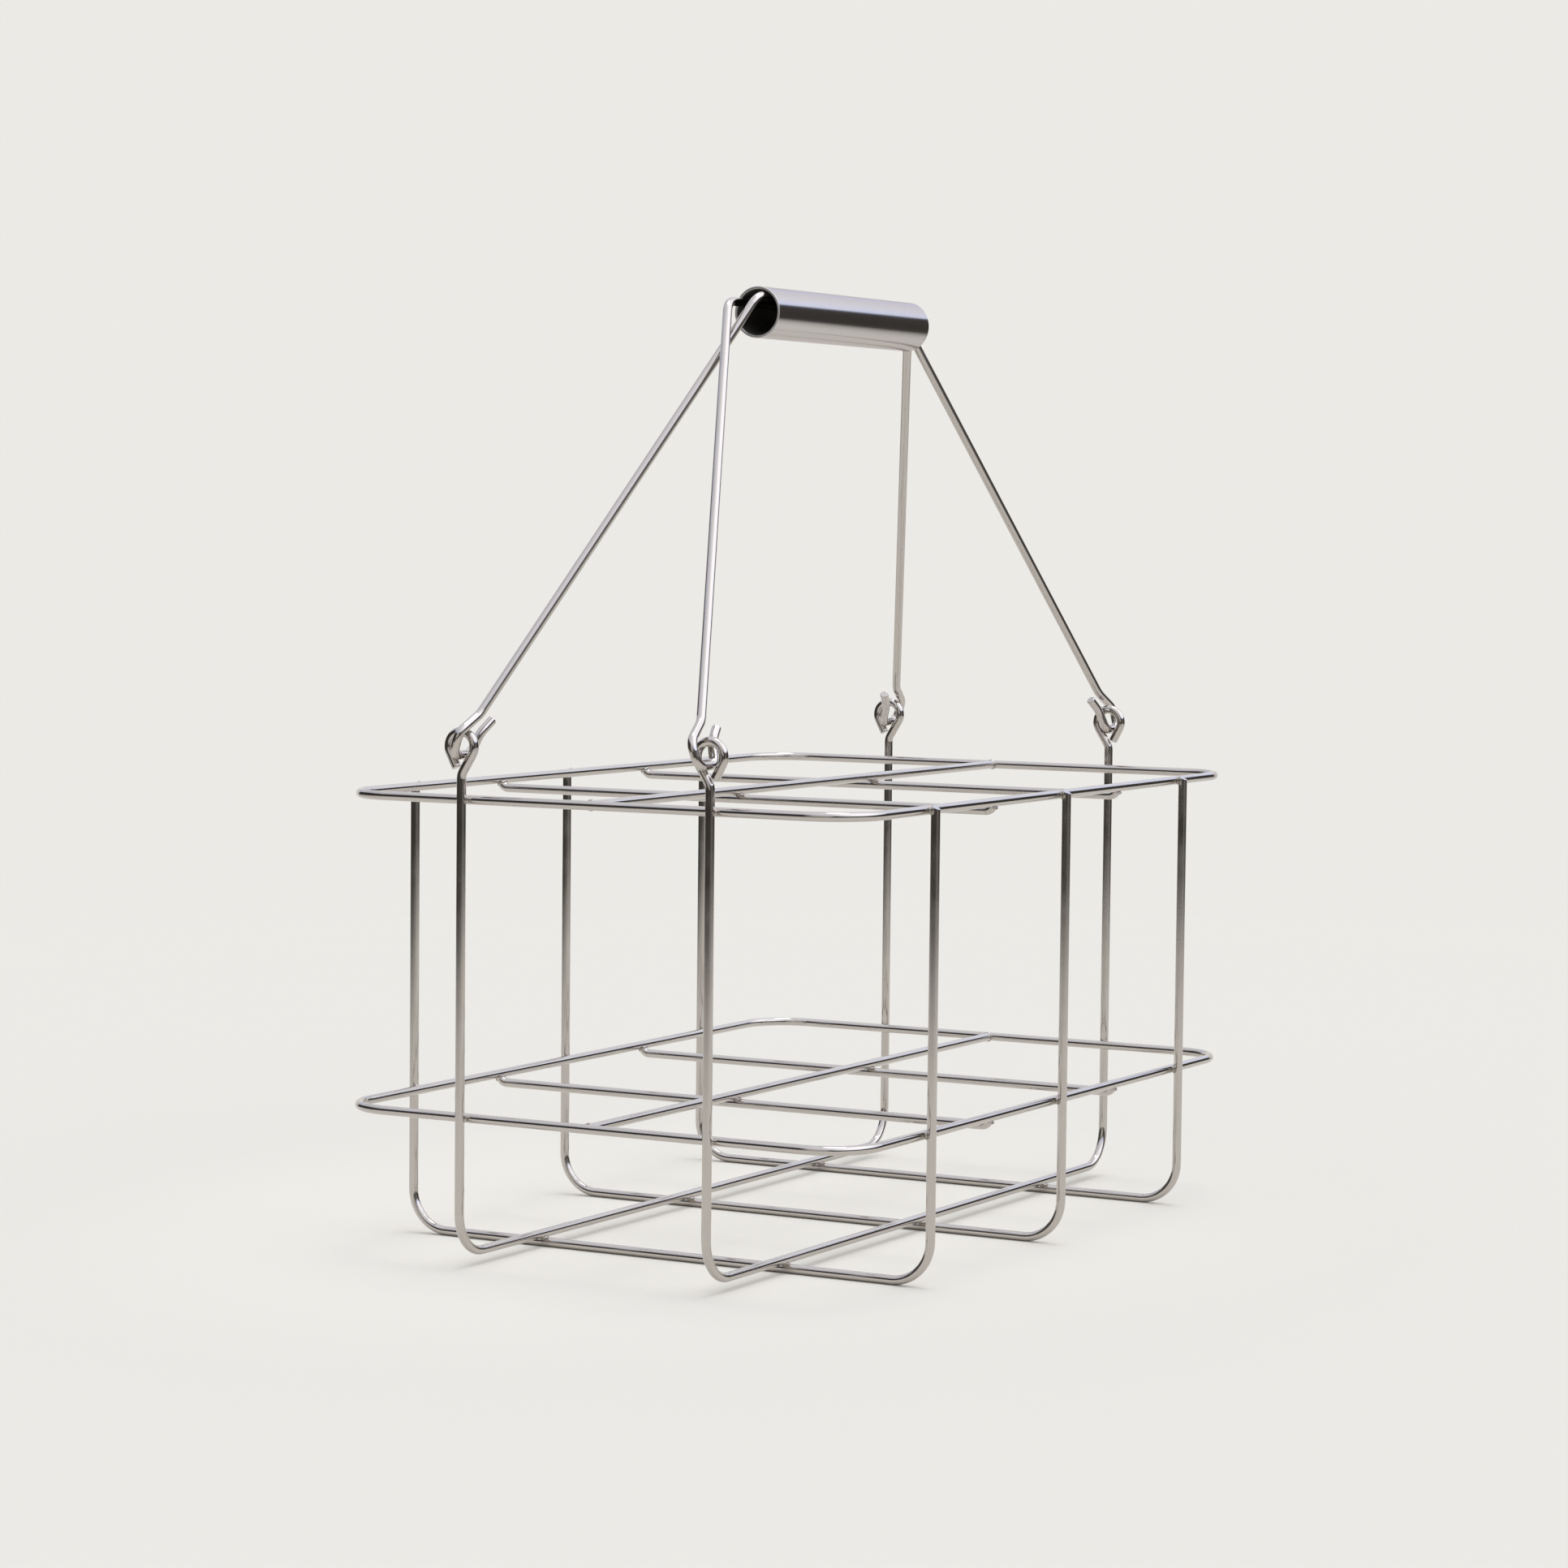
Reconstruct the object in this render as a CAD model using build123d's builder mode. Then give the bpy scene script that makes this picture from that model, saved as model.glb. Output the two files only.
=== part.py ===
from build123d import *
import os
from math import atan2, cos, degrees, hypot, radians, sin, tan

# Six-bottle wire caddy with a standing two-bail handle, in millimetres, +Z up.
# X runs across the short front, Y runs back along the long side.
# The origin is on the floor, under the middle of the basket.

os.makedirs("parts", exist_ok=True)

# Wire stock and welds
wire_diameter = 3.2
weld_set = 0.2
butt_set = 0.15
wire_end_break = 0.3
cut_overrun = 2.0

# Rings, measured to the middle of the wire
ring_width = 200.0
ring_length = 300.0
ring_corner_radius = 18.0
top_ring_height = 158.5
lower_ring_height = 51.0

# Dividers that part the six cells
cross_divider_offset = 50.0
divider_end_angle = 58.0
divider_bend_radius = 3.0

# U wires that carry the rings and make the floor
cross_wire_spacing = 100.0
eye_wire_offset = 48.2
bottom_bend_radius = 14.0
tip_bevel_angle = 22.0

# Closed eyes at the tops of the two lengthwise U wires
eye_height = 176.5
eye_radius = 5.0
neck_angle = 32.0
neck_bend_radius = 5.0
free_end_angle = 28.0
free_end_length = 5.5

# Bails: two hooked wires that lean together and cross beside the ends of the grip
hook_clearance = 0.3
hook_nesting = 1.3
left_corner_overhang = -0.3
right_corner_overhang = 8.4
top_bend_radius = 7.0

# Hook outline, as distances inward from the eye and up from the bottom of the hook
hook_leg_in = 2.2
hook_leg_up = 14.6
hook_jog_out = 7.3
hook_jog_up = 8.2
hook_heel_out = 6.3
hook_toe_in = 3.8
hook_kink_in = 6.0
hook_kink_up = 7.5
hook_tip_in = 11.0
hook_tip_up = 12.2
hook_leg_radius = 8.0
hook_jog_radius = 5.0
hook_heel_radius = 3.5
hook_toe_radius = 3.5
hook_kink_radius = 8.0

# Grip tube that both bails run through.
# The bearings say where each wire lies in the bore: degrees from the top, toward the right.
grip_diameter = 18.0
grip_wall = 1.0
grip_length = 112.5
grip_height = 325.1
grip_offset = 7.1
grip_slide = 3.0
grip_wire_gap = 0.3
grip_edge_break = 0.2
left_wire_bearing = 19.3
right_wire_bearing = -56.5

# Places that follow from the sizes above
wire_radius = wire_diameter / 2
weld_pitch = wire_diameter - weld_set
side_x = ring_width / 2
end_y = ring_length / 2
cross_wire_x = side_x + weld_pitch
eye_wire_y = end_y + weld_pitch
cross_wire_floor = wire_radius
eye_wire_floor = cross_wire_floor + weld_pitch
grip_radius = grip_diameter / 2
bore_radius = grip_radius - grip_wall
wire_reach = bore_radius - wire_radius - grip_wire_gap
grip_front_y = grip_slide - grip_length / 2

# The hooks hang in the foot of the eyes, where the neck and the free end draw together
hook_room = eye_radius - wire_diameter - hook_clearance
pivot_height = eye_height - hook_room / sin(radians(neck_angle))
levels = {"top": top_ring_height, "lower": lower_ring_height}


def sweep_wire(path):
    """Sweep the round wire along a path, inside the part block that calls it."""
    route = path.wire()
    with BuildSketch(Plane(origin=route @ 0, z_dir=route % 0)) as section:
        Circle(wire_radius)
    sweep(section.sketch, path=route)


def break_wire_ends():
    """Round off the rims of a cut wire's two flat ends."""
    cut_faces = faces().filter_by(GeomType.PLANE)
    fillet(cut_faces.edges(), wire_end_break)


def finish_piece(builder, name):
    """Label a finished piece and write it."""
    builder.part.label = name
    export_step(builder.part, f"parts/{name}.step")


# Rings: closed rounded rectangles
for level, height in levels.items():
    with BuildPart() as ring:
        with BuildLine(Plane.XY.offset(height)) as ring_path:
            FilletPolyline(
                (-side_x, -end_y),
                (side_x, -end_y),
                (side_x, end_y),
                (-side_x, end_y),
                radius=ring_corner_radius,
                close=True,
            )
        sweep_wire(ring_path)
    finish_piece(ring, f"{level}_ring")

# Lengthwise dividers: straight, butted to the insides of the ring's two short sides
long_divider_y = end_y - wire_radius + butt_set
for level, height in levels.items():
    with BuildPart() as long_divider:
        with BuildLine(Plane.YZ) as long_divider_path:
            Line((-long_divider_y, height), (long_divider_y, height))
        sweep_wire(long_divider_path)
    finish_piece(long_divider, f"{level}_long_divider")

# Cross dividers: they pass under the lengthwise one, and their ends bend up to the ring
divider_drop = weld_pitch
stub_rise = divider_drop - (wire_radius - butt_set) * sin(radians(divider_end_angle))
bend_x = side_x - divider_drop / tan(radians(divider_end_angle))
stub_x = bend_x + stub_rise / tan(radians(divider_end_angle))
rows = {"front": -cross_divider_offset, "back": cross_divider_offset}
for level, height in levels.items():
    run_height = height - divider_drop
    for row, row_y in rows.items():
        with BuildPart() as cross_divider:
            with BuildLine(Plane.XZ.offset(-row_y)) as cross_divider_path:
                FilletPolyline(
                    (-stub_x, run_height + stub_rise),
                    (-bend_x, run_height),
                    (bend_x, run_height),
                    (stub_x, run_height + stub_rise),
                    radius=divider_bend_radius,
                )
            sweep_wire(cross_divider_path)
        finish_piece(cross_divider, f"{level}_cross_divider_{row}")

# Cross U wires: outside the rings' long sides, tips cut with an outward bevel
tip_height = top_ring_height + wire_radius - wire_radius * tan(radians(tip_bevel_angle))
tip_slope_x = sin(radians(tip_bevel_angle))
tip_slope_z = cos(radians(tip_bevel_angle))
cross_rows = {"front": -cross_wire_spacing, "middle": 0, "back": cross_wire_spacing}
for row, row_y in cross_rows.items():
    with BuildPart() as cross_wire:
        with BuildLine(Plane.XZ.offset(-row_y)) as cross_wire_path:
            FilletPolyline(
                (-cross_wire_x, tip_height + cut_overrun),
                (-cross_wire_x, cross_wire_floor),
                (cross_wire_x, cross_wire_floor),
                (cross_wire_x, tip_height + cut_overrun),
                radius=bottom_bend_radius,
            )
        sweep_wire(cross_wire_path)
        for side in (-1, 1):
            tip = (side * cross_wire_x, row_y, tip_height)
            tip_plane = Plane(origin=tip, z_dir=(side * tip_slope_x, 0, tip_slope_z))
            split(bisect_by=tip_plane, keep=Keep.BOTTOM)
    finish_piece(cross_wire, f"cross_wire_{row}")

# Eye wires: lengthwise U wires whose two ends are closed into eyes.
# The neck leans toward the middle of the caddy, and the free end comes down on the other side.
neck_drop = eye_radius / sin(radians(neck_angle))
neck_in = eye_radius * cos(radians(neck_angle))
neck_up = -eye_radius * sin(radians(neck_angle))
free_out = eye_radius * cos(radians(free_end_angle))
free_up = -eye_radius * sin(radians(free_end_angle))
tip_out = free_out - free_end_length * sin(radians(free_end_angle))
tip_up = free_up - free_end_length * cos(radians(free_end_angle))


def eye_point(side, end, inward, up):
    """A point of an eye, from its distance toward the middle and its height over the eye's centre."""
    return (side * (eye_wire_offset - inward), end * eye_wire_y, eye_height + up)


for name, side in {"left": -1, "right": 1}.items():
    with BuildPart() as eye_wire:
        with BuildLine() as eye_wire_path:
            for end in (-1, 1):
                Line(eye_point(side, end, -tip_out, tip_up), eye_point(side, end, -free_out, free_up))
                ThreePointArc(
                    eye_point(side, end, -free_out, free_up),
                    eye_point(side, end, 0, eye_radius),
                    eye_point(side, end, neck_in, neck_up),
                )
            FilletPolyline(
                eye_point(side, -1, neck_in, neck_up),
                eye_point(side, -1, 0, -neck_drop),
                (side * eye_wire_offset, -eye_wire_y, eye_wire_floor),
                (side * eye_wire_offset, eye_wire_y, eye_wire_floor),
                eye_point(side, 1, 0, -neck_drop),
                eye_point(side, 1, neck_in, neck_up),
                radius=[neck_bend_radius, bottom_bend_radius, bottom_bend_radius, neck_bend_radius],
            )
        sweep_wire(eye_wire_path)
        break_wire_ends()
    finish_piece(eye_wire, f"eye_wire_{name}")

# Bails: flat bent wires, each in a plane that leans from the line through its two eyes
# to its own place in the grip's bore. The left one is narrower, so that its legs pass
# inside the right one's where they cross.
hook_outline = [
    (-hook_leg_in, hook_leg_up),
    (hook_jog_out, hook_jog_up),
    (hook_heel_out, 0),
    (-hook_toe_in, 0),
    (-hook_kink_in, hook_kink_up),
    (-hook_tip_in, hook_tip_up),
]
hook_radii = [hook_leg_radius, hook_jog_radius, hook_heel_radius, hook_toe_radius, hook_kink_radius]
bail_radii = hook_radii[::-1] + [top_bend_radius, top_bend_radius] + hook_radii
bails = {
    "left": (-1, left_wire_bearing, left_corner_overhang, -hook_nesting),
    "right": (1, right_wire_bearing, right_corner_overhang, hook_nesting),
}
for name, (side, bearing, corner_overhang, hook_shift) in bails.items():
    top_x = grip_offset + wire_reach * sin(radians(bearing))
    top_z = grip_height + wire_reach * cos(radians(bearing))
    lean_in = eye_wire_offset - side * top_x
    lean_up = top_z - pivot_height
    bail_height = hypot(lean_in, lean_up)
    bail_plane = Plane(
        origin=(side * eye_wire_offset, 0, pivot_height),
        x_dir=(0, 1, 0),
        z_dir=(lean_up, 0, side * lean_in),
    )
    corner_y = grip_length / 2 + corner_overhang
    hook_y = eye_wire_y + hook_shift
    back_half = [(corner_y, bail_height)] + [(hook_y + out, up) for out, up in hook_outline]
    front_half = [(-y, up) for y, up in reversed(back_half)]
    with BuildPart() as bail:
        with BuildLine(bail_plane) as bail_path:
            FilletPolyline(*front_half, *back_half, radius=bail_radii)
        sweep_wire(bail_path)
        break_wire_ends()
    finish_piece(bail, f"bail_{name}")
    print(name, "bail leans", degrees(atan2(lean_in, lean_up)), "and is", bail_height, "high")

# Grip tube: it hangs on the two top wires, just clear of both
grip_plane = Plane(
    origin=(grip_offset, grip_front_y, grip_height),
    x_dir=(1, 0, 0),
    z_dir=(0, 1, 0),
)
with BuildPart() as grip_tube:
    with BuildSketch(grip_plane):
        Circle(grip_radius)
        Circle(bore_radius, mode=Mode.SUBTRACT)
    extrude(amount=grip_length)
    chamfer(grip_tube.edges().filter_by(GeomType.CIRCLE), grip_edge_break)
finish_piece(grip_tube, "grip_tube")

print("hooks turn about height", pivot_height)
print("grip tube runs from", grip_front_y, "to", grip_front_y + grip_length)
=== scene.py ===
import math

import bpy
import bmesh
from mathutils import Matrix, Vector, noise


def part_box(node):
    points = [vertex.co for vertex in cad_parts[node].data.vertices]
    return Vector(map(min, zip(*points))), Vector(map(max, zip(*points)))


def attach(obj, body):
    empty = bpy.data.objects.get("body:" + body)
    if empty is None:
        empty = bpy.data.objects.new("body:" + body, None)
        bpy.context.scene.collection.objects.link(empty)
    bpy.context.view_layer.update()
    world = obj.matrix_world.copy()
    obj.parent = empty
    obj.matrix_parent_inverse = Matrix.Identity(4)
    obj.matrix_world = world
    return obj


# The caddy's looks: polished wire, a satin tube and weld beads. All sizes are in metres.

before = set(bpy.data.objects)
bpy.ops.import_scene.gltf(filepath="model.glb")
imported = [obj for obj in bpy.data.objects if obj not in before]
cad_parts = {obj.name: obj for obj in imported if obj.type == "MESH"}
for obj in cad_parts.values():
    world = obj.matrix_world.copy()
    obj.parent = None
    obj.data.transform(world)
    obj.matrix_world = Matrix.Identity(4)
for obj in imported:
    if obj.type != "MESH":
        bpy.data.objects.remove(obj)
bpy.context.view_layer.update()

MM = 0.001

# Places of the wires in the frame, as the CAD has them
wire_radius = 1.6 * MM
weld_pitch = 3.0 * MM
ring_side = 100 * MM
ring_end = 150 * MM
ring_levels = {"top": 158.5 * MM, "lower": 51 * MM}
divider_row = 50 * MM
divider_end_turn = 58
cross_wire_rows = (-100 * MM, 0, 100 * MM)
eye_wire_side = 48.2 * MM

# The grip tube: its middle line runs along Y
grip_low, grip_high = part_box("grip_tube")
grip_middle = (grip_low + grip_high) / 2
grip_half_length = (grip_high.y - grip_low.y) / 2
bore_radius = 8 * MM
bore_margin = 0.05 * MM
rim_depth = 0.1 * MM

# Wire: its gloss varies in clouds, between two shares of the wire's roughness
wire_colour = (0.545, 0.514, 0.482, 1)
basket_roughness = 0.10
bail_roughness = 0.12
cloud_scale = 90
cloud_detail = 3
cloud_span = (0.3, 0.75)
cloud_shares = (0.7, 1.5)
scuff_scale = 900
scuff_detail = 4
scuff_strength = 0.05
scuff_depth = 0.05 * MM

# Tube: the edge tint dims what it mirrors at a grazing angle
tube_colours = ((0.3, (0.58, 0.561, 0.543)), (0.7, (0.63, 0.611, 0.593)))
tube_edge_tint = (0.77, 0.73, 0.73, 1)
tube_roughness = (0.10, 0.20)
# The bore's darker colour is painted shade inside the tube
bore_painted_shade = (0.30, 0.29, 0.27, 1)
cut_roughness = 0.4
line_stretch = (260, 5000, 260)
line_scale = 1
line_detail = 3
line_strength = 0.05
line_depth = 0.02 * MM

# Weld beads: the half width and half depth of each kind, and the lumps on them
weld_colours = ((0.3, (0.32, 0.29, 0.26)), (0.7, (0.56, 0.53, 0.50)))
weld_roughness = 0.28
grain_scale = 700
grain_detail = 4
grain_strength = 0.35
grain_depth = 0.1 * MM
spot_bead = (1.75 * MM, 0.75 * MM)
butt_bead = (1.95 * MM, 0.8 * MM)
bead_subdivisions = 3
lump_share = 0.14
lump_scale = 1.7

# Floor: painted light makes it paler where the basket shades it, and it fades into a backdrop of
# the same colour
backdrop_colour = (0.840, 0.823, 0.791, 1)
floor_albedo = (0.682, 0.660, 0.589, 1)
painted_light_albedo = (0.760, 0.735, 0.656, 1)
painted_light_centre = (-0.04, -0.02, 0)
painted_light_reach = (0.18, 0.22, 1)
painted_light_edge = (0.3, 1.45)
floor_half_width = 2.2
fade_centre = (0.12, 0.10, 0)
fade_edge = (0.45, 1.7)

# Room at eye level: dark, but paler toward the backdrop, the right and the front. The pale
# front is there for views from behind, in which the tube and the long wires mirror it.
# Each way is level. Its spread is two cosines: where its part of the room begins and is full.
band_colour = (0.055, 0.050, 0.046, 1)
backdrop_way = (-0.489, 0.872, 0)
backdrop_spread = (0.68, 0.80)
wall_colour = (0.17, 0.16, 0.15, 1)
wall_way = (0.982, -0.191, 0)
wall_spread = (0.80, 0.98)
front_colour = (0.62, 0.60, 0.58, 1)
front_way = (0.087, -0.996, 0)
front_spread = (0.88, 0.965)
front_rise = (-0.03, 0.05)

# Dome over the room: brightest toward a large soft lamp high on the right, bluish low down, and
# it starts higher on the unlit front left. Its levels go by the cosine to the lamp, its edges
# by height.
dome_levels = ((0.0, 0.75), (0.14, 0.88), (0.27, 0.98), (0.65, 1.06), (0.98, 1.75))
lamp_way = (0.70, 0.20, 0.685)
dome_edge = (0.285, 0.34)
low_dome_colour = (0.96, 1.05, 1.38, 1)
high_dome_colour = (1.06, 1.07, 1.15, 1)
dome_tint_edge = (0.30, 0.52)
unlit_way = (-0.489, -0.872, 0)
unlit_spread = (0.2, 0.75)
unlit_rise = 0.23

# Overhead light: almost straight above, which gives the thin shadows under the wires
overhead_way = (0.02, 0.14, 0.99)
overhead_strength = 0.5
overhead_spread = 20

# Camera at the photograph's place: angles in degrees, lens and sensor in millimetres
camera_place = (0.72129, -1.30559, 0.25137)
camera_turn = 29.26
camera_tilt = -3.578
camera_roll = 0.578
camera_lens = 94.96
camera_sensor = 36
camera_near = 0.05
camera_far = 50

# Places of the Mix node's colour sockets, which share their names with its other sockets
mix_inputs = (6, 7)
mix_output = 2


# Small helpers for shader nodes


def new_material(name):
    """A material with its Principled shader, ready for more nodes."""
    material = bpy.data.materials.new(name)
    material.use_nodes = True
    nodes = material.node_tree.nodes
    return material, nodes, material.node_tree.links, nodes["Principled BSDF"]


def add_node(nodes, kind, **inputs):
    """Add a shader node and set its unlinked inputs by name."""
    node = nodes.new(kind)
    for key, value in inputs.items():
        node.inputs[key.replace("_", " ")].default_value = value
    return node


def add_math(nodes, links, operation, first, second=None):
    """The result of a math node fed by sockets or plain numbers."""
    node = nodes.new("ShaderNodeMath")
    node.operation = operation
    for index, value in enumerate((first, second)):
        if value is None:
            continue
        if isinstance(value, (int, float)):
            node.inputs[index].default_value = value
        else:
            links.new(value, node.inputs[index])
    return node.outputs[0]


def vector_math(nodes, links, operation, first, second=None):
    """The result of a vector math node fed by one socket, and by another or a plain vector."""
    node = nodes.new("ShaderNodeVectorMath")
    node.operation = operation
    links.new(first, node.inputs[0])
    if isinstance(second, bpy.types.NodeSocket):
        links.new(second, node.inputs[1])
    elif second is not None:
        node.inputs[1].default_value = second
    gives_number = operation in ("LENGTH", "DOT_PRODUCT")
    return node.outputs["Value" if gives_number else "Vector"]


def map_value(nodes, links, value, source, target, kind="LINEAR"):
    """A value mapped from one span to another."""
    node = add_node(
        nodes,
        "ShaderNodeMapRange",
        From_Min=source[0],
        From_Max=source[1],
        To_Min=target[0],
        To_Max=target[1],
    )
    node.interpolation_type = kind
    links.new(value, node.inputs["Value"])
    return node.outputs["Result"]


def soft_step(nodes, links, value, low_edge, high_edge):
    """A smooth step of a value, from 0 at one edge to 1 at the other."""
    return map_value(nodes, links, value, (low_edge, high_edge), (0, 1), "SMOOTHSTEP")


def ramp(nodes, links, value, stops):
    """The colour that a value has on a ramp of (place, grey or colour) stops."""
    node = nodes.new("ShaderNodeValToRGB")
    elements = node.color_ramp.elements
    for place, colour in stops[len(elements):]:
        elements.new(place)
    for element, (place, colour) in zip(elements, stops):
        element.position = place
        element.color = (*colour, 1) if isinstance(colour, tuple) else (colour, colour, colour, 1)
    links.new(value, node.inputs["Fac"])
    return node.outputs["Color"]


def mix_colour(nodes, links, share, first, second):
    """Blend two colours, given as sockets or plain values, by a share from 0 to 1."""
    node = nodes.new("ShaderNodeMix")
    node.data_type = "RGBA"
    links.new(share, node.inputs["Factor"])
    for index, value in zip(mix_inputs, (first, second)):
        if isinstance(value, tuple):
            node.inputs[index].default_value = value
        else:
            links.new(value, node.inputs[index])
    return node.outputs[mix_output]


def mix_shader(nodes, links, share, first, second):
    """Blend two shader nodes by a share from 0 to 1."""
    node = nodes.new("ShaderNodeMixShader")
    links.new(share, node.inputs["Fac"])
    links.new(first.outputs[0], node.inputs[1])
    links.new(second.outputs[0], node.inputs[2])
    return node.outputs[0]


def add_noise(nodes, links, place, scale, detail):
    """Noise over a place that a socket gives."""
    node = add_node(nodes, "ShaderNodeTexNoise", Scale=scale, Detail=detail)
    links.new(place, node.inputs["Vector"])
    return node.outputs["Fac"]


def add_bump(nodes, links, shader, height, strength, depth):
    """Make a shader's surface uneven by a height that a socket gives."""
    node = add_node(nodes, "ShaderNodeBump", Strength=strength, Distance=depth)
    links.new(height, node.inputs["Height"])
    links.new(node.outputs["Normal"], shader.inputs["Normal"])


# Materials


def wire_steel(name, roughness):
    """Bright drawn steel wire with fine scuffs and a slightly uneven gloss."""
    material, nodes, links, shader = new_material(name)
    shader.inputs["Base Color"].default_value = wire_colour
    shader.inputs["Metallic"].default_value = 1
    place = nodes.new("ShaderNodeTexCoord").outputs["Object"]
    cloud = add_noise(nodes, links, place, cloud_scale, cloud_detail)
    span = [roughness * share for share in cloud_shares]
    links.new(map_value(nodes, links, cloud, cloud_span, span), shader.inputs["Roughness"])
    scuff = add_noise(nodes, links, place, scuff_scale, scuff_detail)
    add_bump(nodes, links, shader, scuff, scuff_strength, scuff_depth)
    return material


def tube_steel():
    """Satin tube: fine polishing lines round it, a matt bore darkened by painted shade, and matt
    cut rims.
    """
    material, nodes, links, shader = new_material("tube_steel")
    shader.inputs["Metallic"].default_value = 1
    shader.inputs["Specular Tint"].default_value = tube_edge_tint
    place = nodes.new("ShaderNodeTexCoord").outputs["Object"]
    stretch = add_node(nodes, "ShaderNodeMapping", Scale=line_stretch)
    links.new(place, stretch.inputs["Vector"])
    lines = add_noise(nodes, links, stretch.outputs["Vector"], line_scale, line_detail)
    inside = bore_mask(nodes, links, place)
    on_rim = rim_mask(nodes, links, place)
    steel = ramp(nodes, links, lines, tube_colours)
    # Painted shade: the bore wall is darker than the outside
    colour = mix_colour(nodes, links, inside, steel, bore_painted_shade)
    links.new(colour, shader.inputs["Base Color"])
    gloss = map_value(nodes, links, lines, (0, 1), tube_roughness)
    cut = add_math(nodes, links, "MAXIMUM", inside, on_rim)
    matt = add_math(nodes, links, "MULTIPLY", cut, cut_roughness)
    links.new(add_math(nodes, links, "ADD", gloss, matt), shader.inputs["Roughness"])
    add_bump(nodes, links, shader, lines, line_strength, line_depth)
    return material


def bore_mask(nodes, links, place):
    """1 on the wall of the tube's bore and 0 outside it, by the distance to its middle line."""
    offset = vector_math(nodes, links, "SUBTRACT", place, grip_middle)
    radial = vector_math(nodes, links, "MULTIPLY", offset, (1, 0, 1))
    reach = vector_math(nodes, links, "LENGTH", radial)
    return add_math(nodes, links, "LESS_THAN", reach, bore_radius + bore_margin)


def rim_mask(nodes, links, place):
    """1 on the two cut ends of the tube and 0 between them."""
    parts = nodes.new("ShaderNodeSeparateXYZ")
    links.new(place, parts.inputs[0])
    along = add_math(nodes, links, "SUBTRACT", parts.outputs["Y"], grip_middle.y)
    from_middle = add_math(nodes, links, "ABSOLUTE", along)
    return add_math(nodes, links, "GREATER_THAN", from_middle, grip_half_length - rim_depth)


def weld_metal():
    """Fused metal at a weld: darker, rougher and a little brown from the heat."""
    material, nodes, links, shader = new_material("weld_metal")
    shader.inputs["Metallic"].default_value = 1
    shader.inputs["Roughness"].default_value = weld_roughness
    place = nodes.new("ShaderNodeTexCoord").outputs["Object"]
    grain = add_noise(nodes, links, place, grain_scale, grain_detail)
    links.new(ramp(nodes, links, grain, weld_colours), shader.inputs["Base Color"])
    add_bump(nodes, links, shader, grain, grain_strength, grain_depth)
    return material


def dress_nodes():
    """Give every CAD node its metal. A node that isn't listed is part of the basket."""
    basket_steel = wire_steel("basket_steel", basket_roughness)
    bail_steel = wire_steel("bail_steel", bail_roughness)
    listed = {"bail_left": bail_steel, "bail_right": bail_steel, "grip_tube": tube_steel()}
    for name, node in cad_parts.items():
        for slot in node.material_slots:
            slot.link = "OBJECT"
            slot.material = listed.get(name, basket_steel)


# Welds: a small fused bead in the corner between two wires


def weld_bead(name, centre, normal, size, material):
    """A squashed, slightly lumpy bead round the contact of two wires.

    The normal is the direction from one wire to the other.
    """
    width, depth = size
    shape = bmesh.new()
    bmesh.ops.create_icosphere(shape, subdivisions=bead_subdivisions, radius=1)
    turn = Vector(normal).to_track_quat("Z", "Y").to_matrix()
    for vertex in shape.verts:
        lump = 1 + lump_share * noise.noise(vertex.co * lump_scale + Vector(centre) / MM)
        squashed = Vector((vertex.co.x * width, vertex.co.y * width, vertex.co.z * depth)) * lump
        vertex.co = Vector(centre) + turn @ squashed
    mesh = bpy.data.meshes.new(name)
    shape.to_mesh(mesh)
    shape.free()
    mesh.polygons.foreach_set("use_smooth", [True] * len(mesh.polygons))
    mesh.materials.append(material)
    bead = bpy.data.objects.new(name, mesh)
    bpy.context.scene.collection.objects.link(bead)
    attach(bead, "caddy")


def weld_points():
    """(name, centre, direction) of every spot weld, and the same of every butt weld."""
    spots = []
    butts = []
    half = weld_pitch / 2
    stub = math.radians(divider_end_turn)
    for level, height in ring_levels.items():
        for side in (-1, 1):
            for row, row_y in enumerate(cross_wire_rows):
                place = (side * (ring_side + half), row_y, height)
                spots.append((f"weld_{level}_side_{side + 1}_{row}", place, (1, 0, 0)))
            for end in (-1, 1):
                place = (side * eye_wire_side, end * (ring_end + half), height)
                spots.append((f"weld_{level}_end_{side + 1}_{end + 1}", place, (0, 1, 0)))
                inward = (side * math.cos(stub), 0, math.sin(stub))
                place = (
                    side * (ring_side - wire_radius * math.cos(stub)),
                    end * divider_row,
                    height - wire_radius * math.sin(stub),
                )
                butts.append((f"weld_{level}_stub_{side + 1}_{end + 1}", place, inward))
        for end in (-1, 1):
            place = (0, end * divider_row, height - half)
            spots.append((f"weld_{level}_cross_{end + 1}", place, (0, 0, 1)))
            place = (0, end * (ring_end - wire_radius), height)
            butts.append((f"weld_{level}_butt_{end + 1}", place, (0, 1, 0)))
    for side in (-1, 1):
        for row, row_y in enumerate(cross_wire_rows):
            place = (side * eye_wire_side, row_y, wire_radius + half)
            spots.append((f"weld_floor_{side + 1}_{row}", place, (0, 0, 1)))
    return spots, butts


def weld_beads():
    """Every bead of the basket."""
    material = weld_metal()
    spots, butts = weld_points()
    for points, size in ((spots, spot_bead), (butts, butt_bead)):
        for name, centre, direction in points:
            weld_bead(name, centre, direction, size, material)


# Stage: a pale floor that fades into a backdrop of the same colour


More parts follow.
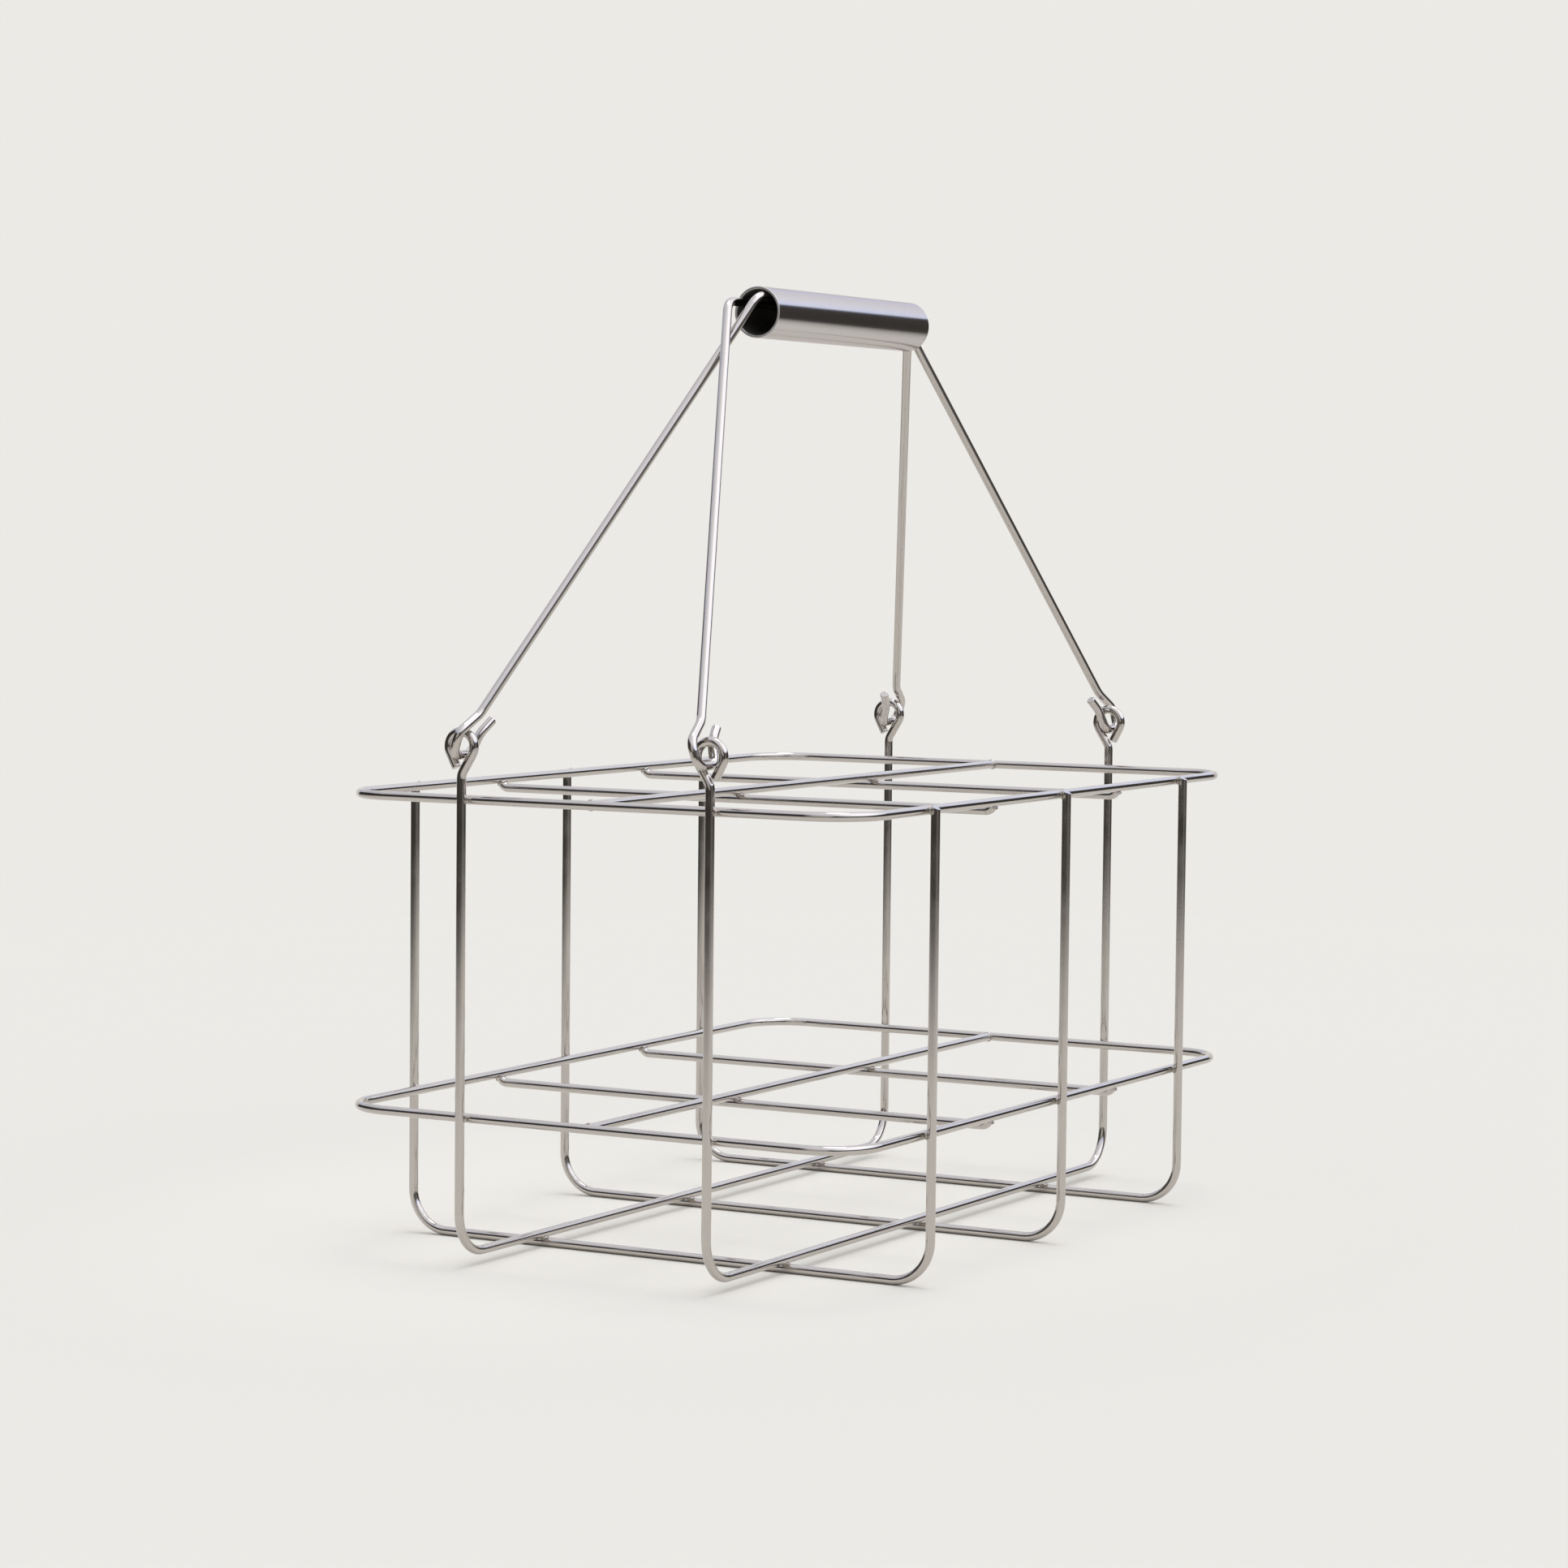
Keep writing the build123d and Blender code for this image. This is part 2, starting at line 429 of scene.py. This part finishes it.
def floor_paper():
    """Matt paper, a little paler under the basket, whose cover thins out far from it.

    The paler part is painted light, which evens out the basket's broad shade.
    """
    material, nodes, links, shader = new_material("floor_paper")
    nodes.remove(shader)
    place = nodes.new("ShaderNodeTexCoord").outputs["Object"]
    # Painted light: the albedo is raised round the basket, where its broad shade falls
    offset = vector_math(nodes, links, "SUBTRACT", place, painted_light_centre)
    under = vector_math(nodes, links, "DIVIDE", offset, painted_light_reach)
    apart = vector_math(nodes, links, "LENGTH", under)
    in_open = soft_step(nodes, links, apart, *painted_light_edge)
    albedo = mix_colour(nodes, links, in_open, painted_light_albedo, floor_albedo)
    paper = nodes.new("ShaderNodeBsdfDiffuse")
    links.new(albedo, paper.inputs["Color"])
    clear = nodes.new("ShaderNodeBsdfTransparent")
    away = vector_math(nodes, links, "SUBTRACT", place, fade_centre)
    reach = vector_math(nodes, links, "LENGTH", away)
    fade = soft_step(nodes, links, reach, *fade_edge)
    surface = mix_shader(nodes, links, fade, paper, clear)
    links.new(surface, nodes["Material Output"].inputs["Surface"])
    return material


def pale_floor():
    """A square floor at height 0."""
    mesh = bpy.data.meshes.new("floor")
    shape = bmesh.new()
    bmesh.ops.create_grid(shape, x_segments=1, y_segments=1, size=floor_half_width)
    shape.to_mesh(mesh)
    shape.free()
    floor = bpy.data.objects.new("floor", mesh)
    bpy.context.scene.collection.objects.link(floor)
    mesh.materials.append(floor_paper())


# World: a soft dome over a dark room


def facing(nodes, links, direction, way, begins, full):
    """A soft share round a level way: 0 where the cosine to it is under begins, 1 over full."""
    level = vector_math(nodes, links, "MULTIPLY", direction, (1, 1, 0))
    unit = vector_math(nodes, links, "NORMALIZE", level)
    along = vector_math(nodes, links, "DOT_PRODUCT", unit, way)
    return soft_step(nodes, links, along, begins, full)


def room_colour(nodes, links, direction, rise):
    """The room at eye level, with its paler parts. The front one starts at the horizon."""
    wall = facing(nodes, links, direction, wall_way, *wall_spread)
    room = mix_colour(nodes, links, wall, band_colour, wall_colour)
    front = facing(nodes, links, direction, front_way, *front_spread)
    above_floor = soft_step(nodes, links, rise, *front_rise)
    front_share = add_math(nodes, links, "MULTIPLY", front, above_floor)
    room = mix_colour(nodes, links, front_share, room, front_colour)
    behind = facing(nodes, links, direction, backdrop_way, *backdrop_spread)
    return mix_colour(nodes, links, behind, room, backdrop_colour)


def dome_colour(nodes, links, direction, height):
    """The dome over the room, by the height of a direction."""
    toward_lamp = vector_math(nodes, links, "DOT_PRODUCT", direction, lamp_way)
    brightness = ramp(nodes, links, toward_lamp, dome_levels)
    high = soft_step(nodes, links, height, *dome_tint_edge)
    tint = mix_colour(nodes, links, high, low_dome_colour, high_dome_colour)
    return vector_math(nodes, links, "MULTIPLY", tint, brightness)


def studio_world():
    """A soft dome over a dark room. The camera itself sees only the plain backdrop."""
    world = bpy.data.worlds.new("studio")
    bpy.context.scene.world = world
    world.use_nodes = True
    nodes = world.node_tree.nodes
    links = world.node_tree.links
    nodes.clear()
    direction = nodes.new("ShaderNodeTexCoord").outputs["Generated"]
    parts = nodes.new("ShaderNodeSeparateXYZ")
    links.new(direction, parts.inputs[0])
    rise = parts.outputs["Z"]
    unlit = facing(nodes, links, direction, unlit_way, *unlit_spread)
    lowered = add_math(nodes, links, "MULTIPLY", unlit, unlit_rise)
    height = add_math(nodes, links, "SUBTRACT", rise, lowered)
    raised = soft_step(nodes, links, height, *dome_edge)
    room = room_colour(nodes, links, direction, rise)
    dome = dome_colour(nodes, links, direction, height)
    light = nodes.new("ShaderNodeBackground")
    links.new(mix_colour(nodes, links, raised, room, dome), light.inputs["Color"])
    plain = add_node(nodes, "ShaderNodeBackground", Color=backdrop_colour)
    seen = nodes.new("ShaderNodeLightPath").outputs["Is Camera Ray"]
    output = nodes.new("ShaderNodeOutputWorld")
    links.new(mix_shader(nodes, links, seen, light, plain), output.inputs["Surface"])


# Light and camera


def overhead_light():
    """A broad, distant light."""
    data = bpy.data.lights.new("overhead_light", "SUN")
    data.energy = overhead_strength
    data.angle = math.radians(overhead_spread)
    lamp = bpy.data.objects.new("overhead_light", data)
    lamp.rotation_euler = Vector(overhead_way).to_track_quat("Z", "Y").to_euler()
    bpy.context.scene.collection.objects.link(lamp)


def photo_camera():
    """The camera of the photograph: turned about Z, tilted down and rolled a little."""
    data = bpy.data.cameras.new("camera")
    data.lens = camera_lens
    data.sensor_width = camera_sensor
    data.clip_start = camera_near
    data.clip_end = camera_far
    camera = bpy.data.objects.new("camera", data)
    turn = math.radians(camera_turn)
    tilt = math.radians(camera_tilt)
    roll = math.radians(camera_roll)
    reach = math.cos(tilt)
    ahead = Vector((-math.sin(turn) * reach, math.cos(turn) * reach, math.sin(tilt)))
    level = Vector((math.cos(turn), math.sin(turn), 0))
    above = level.cross(ahead)
    across = math.cos(roll) * level + math.sin(roll) * above
    upward = -math.sin(roll) * level + math.cos(roll) * above
    axes = Matrix((across, upward, -ahead)).transposed()
    camera.matrix_world = Matrix.Translation(camera_place) @ axes.to_4x4()
    bpy.context.scene.collection.objects.link(camera)
    bpy.context.scene.camera = camera


dress_nodes()
weld_beads()
pale_floor()
studio_world()
overhead_light()
photo_camera()
bpy.context.scene.view_settings.view_transform = "Standard"
